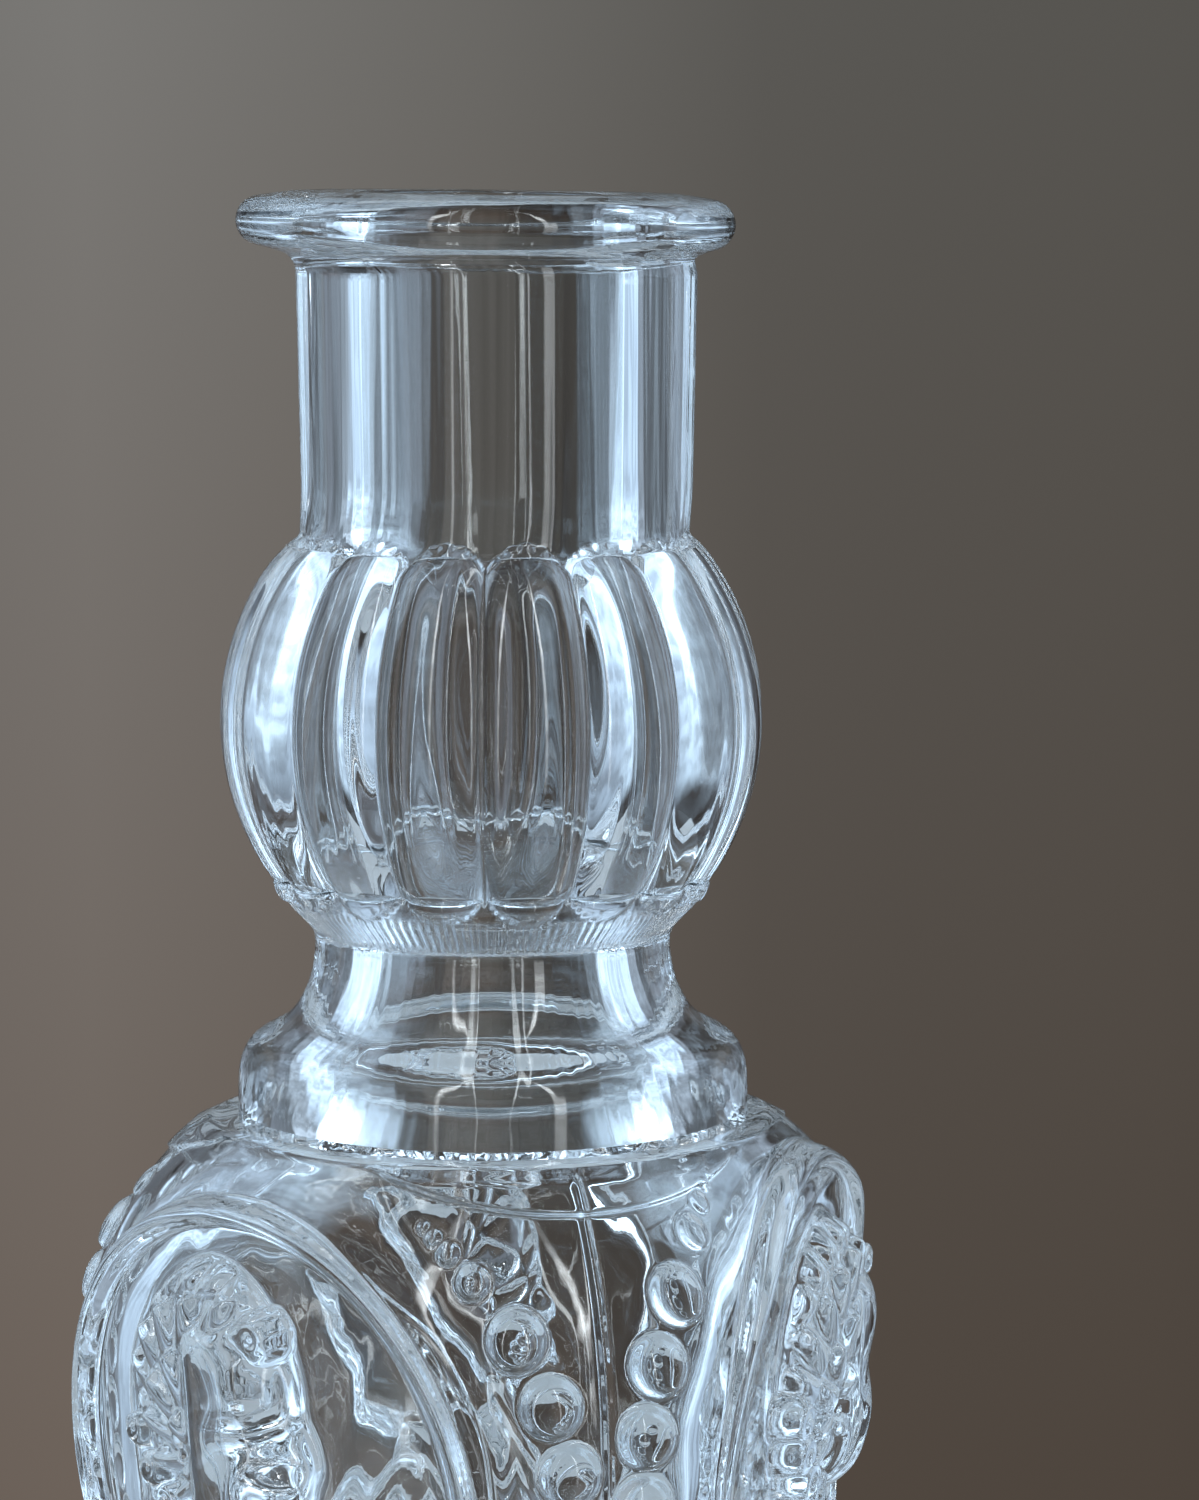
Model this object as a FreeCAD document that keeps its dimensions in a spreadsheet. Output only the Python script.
import FreeCAD, Part

import math
import os

import Sketcher
from FreeCAD import Placement, Rotation, Vector

# Driving dimensions: lengths in millimetres, angles in degrees
SIZES = (
    ("base_height", 6.0),
    ("base_edge_radius", 2.0),
    ("body_height", 80.2),
    ("body_wall", 4.0),
    ("belly_radius", 31.6),
    ("belly_height", 60.0),
    ("belly_arc_radius", 80.0),
    ("taper_angle", 7.25),
    ("shoulder_radius", 21.5),
    ("shoulder_bore_radius", 14.5),
    ("facet_depth", 8.8),
    ("facet_tilt", 0.5),
    ("facet_wall", 3.4),
    ("medallion_height", 56.0),
    ("frame_half_width", 19.3),
    ("frame_half_height", 19.8),
    ("frame_band", 3.0),
    ("frame_thickness", 1.6),
    ("frame_round", 1.1),
    ("relief_height", 7.5),
    ("head_half_width", 9.5),
    ("head_half_height", 11.5),
    ("head_rise", 5.0),
    ("head_offset", -2.5),
    ("throat_half_width", 5.0),
    ("throat_height", 5.0),
    ("throat_offset", -1.0),
    ("bust_half_width", 10.5),
    ("bust_half_height", 6.0),
    ("bust_height", 3.6),
    ("bust_drop", 9.5),
    ("bead_diameter", 4.3),
    ("bead_sink_ratio", 0.25),
    ("bead_pitch_ratio", 1.15),
    ("bead_least_ratio", 0.15),
    ("chain_half_angle", 55.5),
    ("chain_half_height", 26.0),
    ("chain_power", 2.2),
    ("chain_end_share", 0.84),
    ("chain_ramp_share", 0.36),
    ("chain_slant", 1.2),
    ("collar_height", 6.8),
    ("collar_rim_height", 4.0),
    ("collar_radius", 19.3),
    ("waist_height", 7.5),
    ("waist_flare_radius", 16.0),
    ("waist_radius", 13.4),
    ("waist_arc_radius", 9.0),
    ("waist_bore_radius", 8.3),
    ("ring_height", 4.0),
    ("ring_taper_height", 2.0),
    ("ring_radius", 15.8),
    ("knop_height", 25.0),
    ("knop_arc_radius", 16.2),
    ("knop_bore_arc_radius", 17.0),
    ("rib_count", 16),
    ("rib_phase", -2.2),
    ("groove_radius", 1.5),
    ("groove_lift", 0.5),
    ("neck_length", 21.0),
    ("neck_top_radius", 15.0),
    ("neck_bottom_radius", 14.6),
    ("bore_radius", 9.25),
    ("lip_height", 5.5),
    ("lip_radius", 18.9),
    ("lip_edge_height", 4.1),
    ("lip_edge_depth", 2.0),
)

# Mould leaves: the azimuth of each medallion, from the front (-Y) towards +X, and its lift up the facet
LEAVES = (("a", -45.0, 0.0), ("b", 75.0, 2.0), ("c", 195.0, 1.0))
LEAF_ANGLE = 360.0 / len(LEAVES)

# Tolerance that keeps the cut of a bead by the curved wall sound
CUT_TOLERANCE = 1e-4

# Heights of the stacked pieces above the resting face
BODY_FOOT = "Sheet.base_height"
BODY_TOP = BODY_FOOT + " + Sheet.body_height"
COLLAR_TOP = BODY_TOP + " + Sheet.collar_height"
WAIST_TOP = COLLAR_TOP + " + Sheet.waist_height"
RING_TOP = WAIST_TOP + " + Sheet.ring_height"
KNOP_TOP = RING_TOP + " + Sheet.knop_height"
NECK_TOP = KNOP_TOP + " + Sheet.neck_length"

doc = FreeCAD.newDocument("glass_bottle")
sheet = doc.addObject("Spreadsheet::Sheet", "Sheet")
for row, (alias, value) in enumerate(SIZES, start=1):
    sheet.set(f"A{row}", alias)
    sheet.set(f"B{row}", str(value))
    sheet.setAlias(f"B{row}", alias)
doc.recompute()


def size(alias):
    return float(sheet.get(alias))


def tangent_radius(run, rise):
    """Radius, as an expression, of an arc that leaves the vertical and covers run by rise."""
    return f"(({run})^2 + ({rise})^2) / (2 * ({run}))"


# Meridian of the body, worked out once for the wall, the base and the cavity
TAPER = "(Sheet.taper_angle * 1 deg)"


def taper_start(inset):
    """End of the belly arc, where the straight taper begins, for a wall set in by inset."""
    arc = f"(Sheet.belly_arc_radius - {inset})"
    across = f"Sheet.belly_radius - Sheet.belly_arc_radius + {arc} * cos({TAPER})"
    up = f"Sheet.belly_height - {arc} * sin({TAPER})"
    return across, up


def heel_radius(inset):
    across, up = taper_start(inset)
    return f"{across} - ({up}) * tan({TAPER})"


# Sketch helpers

def origin_feature(body, role):
    return next(feature for feature in body.Origin.OriginFeatures if feature.Role == role)


def new_body(name, height="0"):
    body = doc.addObject("PartDesign::Body", name)
    body.Label = name
    body.setExpression("Placement.Base.z", height)
    return body


def new_sketch(body, name, plane):
    sketch = body.newObject("Sketcher::SketchObject", name)
    sketch.AttachmentSupport = (origin_feature(body, plane), [""])
    sketch.MapMode = "FlatFace"
    return sketch


def number(sketch, expression):
    return float(sketch.evalExpression(expression))


def bind(sketch, constraint, expression):
    """Add a dimension to the sketch and bind it to an expression."""
    index = sketch.addConstraint(constraint)
    sketch.setExpression(f"Constraints[{index}]", expression)


def pin(sketch, line, end, across, up):
    """Hold one end of a line at a place given by two expressions, zero meaning on the axis."""
    for kind, expression, axis in (("DistanceX", across, -2), ("DistanceY", up, -1)):
        if expression == "0":
            sketch.addConstraint(Sketcher.Constraint("PointOnObject", line, end, axis))
        else:
            value = number(sketch, expression)
            bind(sketch, Sketcher.Constraint(kind, -1, 1, line, end, value), expression)


def arc_between(start, end, radius, turn):
    """Arc from start to end; turn is 1 where it runs anticlockwise and -1 where clockwise."""
    chord = end - start
    left = Vector(-chord.y, chord.x, 0).normalize()
    reach = math.sqrt(radius ** 2 - (chord.Length / 2) ** 2)
    centre = (start + end) / 2 + left * reach * turn
    first, last = (start, end) if turn > 0 else (end, start)
    angles = [math.atan2(point.y - centre.y, point.x - centre.x) for point in (first, last)]
    return Part.ArcOfCircle(Part.Circle(centre, Vector(0, 0, 1), radius), *angles)


def draw_profile(sketch, corners):
    """Closed outline: each corner is (across, up) or (across, up, radius, turn) for an arc to the next."""
    places = [Vector(number(sketch, corner[0]), number(sketch, corner[1]), 0) for corner in corners]
    starts, ends = [], []
    for index, corner in enumerate(corners):
        here = places[index]
        there = places[(index + 1) % len(corners)]
        if len(corner) == 2:
            edge = sketch.addGeometry(Part.LineSegment(here, there))
            turn = 1
        else:
            turn = corner[3]
            edge = sketch.addGeometry(arc_between(here, there, number(sketch, corner[2]), turn))
        starts.append((edge, 1 if turn > 0 else 2))
        ends.append((edge, 2 if turn > 0 else 1))
    for index, corner in enumerate(corners):
        sketch.addConstraint(Sketcher.Constraint("Coincident", *ends[index - 1], *starts[index]))
        pin(sketch, *starts[index], corner[0], corner[1])
    for index, corner in enumerate(corners):
        if len(corner) > 2:
            radius = number(sketch, corner[2])
            bind(sketch, Sketcher.Constraint("Radius", starts[index][0], radius), corner[2])


def revolve(body, corners, angle=360.0):
    """Turn an outline in the XZ plane about the bottle's axis, half to each side of that plane."""
    sketch = new_sketch(body, body.Name + "_profile", "XZ_Plane")
    draw_profile(sketch, corners)
    turned = body.newObject("PartDesign::Revolution", body.Name + "_turned")
    turned.Profile = sketch
    turned.ReferenceAxis = (sketch, ["V_Axis"])
    turned.Angle = angle
    turned.Midplane = True
    body.Tip = turned
    doc.recompute()
    return turned


# Lip, neck, ring, waist, collar and base: plain turned pieces

def make_lip():
    body = new_body("lip_ring", NECK_TOP)
    edge = "Sheet.lip_radius - Sheet.lip_edge_depth"
    round_radius = tangent_radius("Sheet.lip_edge_depth", "Sheet.lip_edge_height / 2")
    revolve(body, (
        ("Sheet.bore_radius", "0"),
        ("Sheet.bore_radius", "Sheet.lip_height"),
        (edge, "Sheet.lip_height", round_radius, -1),
        (edge, "Sheet.lip_height - Sheet.lip_edge_height"),
        ("Sheet.neck_top_radius", "0"),
    ))
    return body


def make_neck():
    body = new_body("neck", KNOP_TOP)
    revolve(body, (
        ("Sheet.bore_radius", "0"),
        ("Sheet.bore_radius", "Sheet.neck_length"),
        ("Sheet.neck_top_radius", "Sheet.neck_length"),
        ("Sheet.neck_bottom_radius", "0"),
    ))
    return body


def make_ring():
    body = new_body("knop_ring", WAIST_TOP)
    revolve(body, (
        ("Sheet.waist_bore_radius", "0"),
        ("Sheet.waist_bore_radius", "Sheet.ring_height"),
        ("Sheet.ring_radius", "Sheet.ring_height"),
        ("Sheet.ring_radius", "Sheet.ring_taper_height"),
        ("Sheet.waist_radius", "0"),
    ))
    return body


def make_waist():
    body = new_body("waist", COLLAR_TOP)
    revolve(body, (
        ("Sheet.waist_bore_radius", "0"),
        ("Sheet.waist_bore_radius", "Sheet.waist_height"),
        ("Sheet.waist_radius", "Sheet.waist_height", "Sheet.waist_arc_radius", 1),
        ("Sheet.waist_flare_radius", "0"),
    ))
    return body


def make_collar():
    body = new_body("shoulder_collar", BODY_TOP)
    dome = tangent_radius(
        "Sheet.collar_radius - Sheet.waist_flare_radius",
        "Sheet.collar_height - Sheet.collar_rim_height")
    revolve(body, (
        ("Sheet.shoulder_bore_radius", "0"),
        ("Sheet.waist_bore_radius", "Sheet.collar_height"),
        ("Sheet.waist_flare_radius", "Sheet.collar_height", dome, -1),
        ("Sheet.collar_radius", "Sheet.collar_rim_height"),
        ("Sheet.collar_radius", "0"),
    ))
    return body


def make_base():
    body = new_body("base")
    heel = heel_radius("0")
    revolve(body, (
        ("0", "0"),
        (f"{heel} - Sheet.base_edge_radius", "0", "Sheet.base_edge_radius", 1),
        (heel, "Sheet.base_edge_radius"),
        (heel, "Sheet.base_height"),
        ("0", "Sheet.base_height"),
    ))
    return body


# Knop: a turned swelling with its ribs parted by grooves that follow the belly's arc

def make_knop():
    body = new_body("melon_knop", RING_TOP + " + Sheet.knop_height / 2")
    half = "Sheet.knop_height / 2"
    turned = revolve(body, (
        ("Sheet.bore_radius", half),
        ("Sheet.neck_bottom_radius", half, "Sheet.knop_arc_radius", -1),
        ("Sheet.neck_bottom_radius", f"-{half}"),
        ("Sheet.waist_bore_radius", f"-{half}", "Sheet.knop_bore_arc_radius", 1),
    ))
    arc_centre = f"Sheet.neck_bottom_radius - sqrt(Sheet.knop_arc_radius^2 - ({half})^2)"
    groove_centre = f"{arc_centre} + Sheet.knop_arc_radius + Sheet.groove_lift"
    sketch = new_sketch(body, "groove_section", "XY_Plane")
    centre = Vector(number(sketch, groove_centre), 0, 0)
    radius = size("groove_radius")
    circle = sketch.addGeometry(Part.Circle(centre, Vector(0, 0, 1), radius))
    bind(sketch, Sketcher.Constraint("Radius", circle, radius), "Sheet.groove_radius")
    pin(sketch, circle, 3, groove_centre, "0")
    foot = Vector(number(sketch, arc_centre), 0, 0)
    axis = sketch.addGeometry(Part.LineSegment(foot, foot + Vector(0, radius, 0)), True)
    pin(sketch, axis, 1, arc_centre, "0")
    pin(sketch, axis, 2, arc_centre, "Sheet.groove_radius")
    groove = body.newObject("PartDesign::Groove", "rib_groove")
    groove.Profile = sketch
    groove.ReferenceAxis = (sketch, ["Axis0"])
    groove.Angle = 180.0
    groove.Midplane = True
    ribs = body.newObject("PartDesign::PolarPattern", "ribs")
    ribs.Originals = [groove]
    ribs.Axis = (origin_feature(body, "Z_Axis"), [""])
    ribs.Angle = 360.0
    ribs.setExpression("Occurrences", "Sheet.rib_count")
    body.Tip = ribs
    body.Placement.Rotation = Rotation(Vector(0, 0, 1), size("rib_phase"))
    doc.recompute()
    if not ribs.Shape.Volume < turned.Shape.Volume:
        raise RuntimeError("the rib grooves cut nothing")
    return body


# Body: three leaves of one wall, each with a flat facet for its medallion

def body_outline(inset, top_radius):
    """Solid outline of the body, or of the cavity that lies inset from it."""
    across, up = taper_start(inset)
    belly = f"Sheet.belly_radius - {inset}"
    shoulder = tangent_radius(f"{belly} - {top_radius}", "Sheet.body_height - Sheet.belly_height")
    return (
        ("0", "0"),
        (heel_radius(inset), "0"),
        (across, up, f"Sheet.belly_arc_radius - {inset}", 1),
        (belly, "Sheet.belly_height", shoulder, 1),
        (top_radius, "Sheet.body_height"),
        ("0", "Sheet.body_height"),
    )


def facet_place(inset=0.0):
    """Middle of the facet, with local X pointing out of it, on a leaf that faces +X."""
    distance = size("belly_radius") - size("facet_depth")
    middle = Vector(distance, 0, size("base_height") + size("medallion_height"))
    facing = Rotation(Vector(0, 1, 0), -size("facet_tilt"))
    return Placement(middle, facing) * Placement(Vector(-inset, 0, 0), Rotation())


def facet_block(name, inset=0.0, behind=False):
    """Block that stands on the facet plane, in front of it or behind it."""
    block = doc.addObject("Part::Box", name)
    block.setExpression("Length", "2 * Sheet.belly_radius")
    block.setExpression("Width", "4 * Sheet.belly_radius")
    block.setExpression("Height", "2 * Sheet.body_height")
    depth = -2 * size("belly_radius") if behind else 0.0
    corner = Vector(depth, -2 * size("belly_radius"), -size("body_height"))
    block.Placement = facet_place(inset) * Placement(corner, Rotation())
    return block


def cut(name, base, tool):
    result = doc.addObject("Part::Cut", name)
    result.Base = base
    result.Tool = tool
    result.Label = name
    return result


def leaf_turn(azimuth):
    """Turn that takes a leaf facing +X to its azimuth from the front."""
    return Placement(Vector(), Rotation(Vector(0, 0, 1), azimuth - 90.0))


def leaf_place(azimuth, lift):
    """Turn of a leaf to its azimuth, after its medallion is moved up the facet by lift."""
    middle = facet_place()
    return leaf_turn(azimuth) * middle * Placement(Vector(0, 0, lift), Rotation()) * middle.inverse()


def make_panels():
    leaf = new_body("leaf_outside", BODY_FOOT)
    revolve(leaf, body_outline("0", "Sheet.shoulder_radius"), LEAF_ANGLE)
    core = new_body("cavity_core", BODY_FOOT)
    revolve(core, body_outline("Sheet.body_wall", "Sheet.shoulder_bore_radius"))
    outside = cut("leaf_with_facet", leaf, facet_block("facet_block"))
    inside = cut("core_with_facet", core, facet_block("core_block", size("facet_wall")))
    panels = []
    for letter, azimuth, lift in LEAVES:
        panel = cut(f"body_panel_{letter}", outside, inside)
        panel.Placement = leaf_turn(azimuth)
        panels.append(panel)
    doc.recompute()
    return leaf, panels


# Medallions: a nearly round moulding and a head in relief, both seated on the facet

def draw_oval(sketch, half_width, half_height):
    """Upright ellipse about the sketch's origin, with both half axes bound."""
    tall = number(sketch, half_height)
    wide = number(sketch, half_width)
    oval = sketch.addGeometry(Part.Ellipse(Vector(0, tall, 0), Vector(wide, 0, 0), Vector()))
    sketch.addConstraint(Sketcher.Constraint("Coincident", oval, 3, -1, 1))
    sketch.exposeInternalGeometry(oval)
    major, minor = oval + 1, oval + 2
    sketch.addConstraint(Sketcher.Constraint("Vertical", major))
    bind(sketch, Sketcher.Constraint("Distance", major, 2 * tall), f"2 * ({half_height})")
    bind(sketch, Sketcher.Constraint("Distance", minor, 2 * wide), f"2 * ({half_width})")


def make_frame(letter, azimuth, lift):
    body = new_body(f"medallion_frame_{letter}")
    sketch = new_sketch(body, f"oval_{letter}", "YZ_Plane")
    for side in ("+", "-"):
        offset = f"{side} Sheet.frame_band / 2"
        draw_oval(sketch, f"Sheet.frame_half_width {offset}", f"Sheet.frame_half_height {offset}")
    pad = body.newObject("PartDesign::Pad", f"moulding_{letter}")
    pad.Profile = sketch
    pad.setExpression("Length", "Sheet.frame_thickness")
    body.Tip = pad
    doc.recompute()
    middle_height = size("frame_thickness") / 2
    numbered = enumerate(pad.Shape.Edges, start=1)
    names = [f"Edge{index}" for index, edge in numbered if edge.BoundBox.XMin > middle_height]
    rounded = body.newObject("PartDesign::Fillet", f"moulding_round_{letter}")
    rounded.Base = (pad, names)
    rounded.setExpression("Radius", "Sheet.frame_round")
    body.Tip = rounded
    body.clearExpression("Placement.Base.z")
    body.Placement = leaf_place(azimuth, lift) * facet_place()
    return body


def lump(name, half_height, depth, half_width, rise, offset=0.0):
    """Ellipsoid centred on the facet plane, rise above the medallion's middle and offset to its right."""
    body = doc.addObject("Part::Ellipsoid", name)
    body.setExpression("Radius1", half_height)
    body.setExpression("Radius2", depth)
    body.setExpression("Radius3", half_width)
    body.Placement = facet_place() * Placement(Vector(0, offset, rise), Rotation())
    return body


def make_portraits():
    head = lump("head", "Sheet.head_half_height", "Sheet.relief_height", "Sheet.head_half_width",
                size("head_rise"), size("head_offset"))
    chin = size("head_rise") - size("head_half_height")
    throat_middle = (chin - size("bust_drop") + size("bust_half_height")) / 2
    throat = lump("throat", "Sheet.bust_drop", "Sheet.throat_height", "Sheet.throat_half_width",
                  throat_middle, size("throat_offset"))
    bust = lump("bust", "Sheet.bust_half_height", "Sheet.bust_height", "Sheet.bust_half_width",
                -size("bust_drop"))
    figure = doc.addObject("Part::MultiFuse", "figure")
    figure.Shapes = [head, throat, bust]
    back = facet_block("figure_back", behind=True)
    portraits = []
    for letter, azimuth, lift in LEAVES:
        portrait = cut(f"portrait_relief_{letter}", figure, back)
        portrait.Placement = leaf_place(azimuth, lift)
        portraits.append(portrait)
    doc.recompute()
    return portraits


# Bead chains: graduated domes on the round wall, up both sides of each medallion

def bead_places():
    """Angle from the medallion, height and diameter of each bead from the middle to one end."""
    power = size("chain_power")
    share = 0.0
    while share < size("chain_end_share"):
        left = 1 - share ** power
        ramp = (size("chain_end_share") - share) / size("chain_ramp_share") + size("bead_least_ratio")
        diameter = size("bead_diameter") * min(1.0, ramp)
        yield size("chain_half_angle") * left ** (1 / power), size("chain_half_height") * share, diameter
        swing = math.radians(size("chain_half_angle")) * share ** (power - 1) * left ** (1 / power - 1)
        pace = math.hypot(size("chain_half_height"), size("belly_radius") * swing)
        share += size("bead_pitch_ratio") * diameter / pace


def wall_radius(wall, height):
    """Outer radius of the round wall at a height, measured on the leaf that faces +X."""
    reach = Part.makeLine(Vector(0, 0, height), Vector(2 * size("belly_radius"), 0, height))
    return wall.common(reach).BoundBox.XMax


def bead_string(direction, wall):
    """All beads of one chain, on the leaf that faces +X; the left chain sits higher than the right one."""
    middle = size("base_height") + size("medallion_height") - direction * size("chain_slant")
    beads = []
    for turn, rise, diameter in bead_places():
        for way in (1, -1) if rise > 0 else (1,):
            height = middle + way * rise
            radius = wall_radius(wall, height) - size("bead_sink_ratio") * diameter / 2
            angle = math.radians(direction * turn)
            outward = Vector(math.cos(angle), math.sin(angle), 0)
            centre = outward * radius + Vector(0, 0, height)
            beads.append(Part.makeSphere(diameter / 2, centre, outward).cut(wall, CUT_TOLERANCE))
    return Part.makeCompound(beads)


def make_chains(wall):
    chains = []
    for letter, azimuth, lift in LEAVES:
        for side, direction in (("left", -1), ("right", 1)):
            chain = doc.addObject("Part::Feature", f"bead_chain_{letter}_{side}")
            chain.Label = chain.Name
            chain.Shape = bead_string(direction, wall)
            chain.Placement = leaf_turn(azimuth)
            chains.append(chain)
    return chains


# The whole bottle
nodes = [make_base(), make_collar(), make_waist(), make_ring(), make_knop(), make_neck(), make_lip()]
leaf, panels = make_panels()
nodes += panels + make_portraits() + make_chains(leaf.Shape)
nodes += [make_frame(*leaf_entry) for leaf_entry in LEAVES]
doc.recompute()

for item in doc.Objects:
    if "Invalid" in item.State or "Error" in item.State:
        raise RuntimeError(f"{item.Name} failed to build")
for node in nodes:
    if node.Shape.isNull() or not node.Shape.isValid():
        raise RuntimeError(f"{node.Label} has no valid shape")

os.makedirs("parts", exist_ok=True)
for node in nodes:
    node.Shape.exportStep(f"parts/{node.Label}.step")
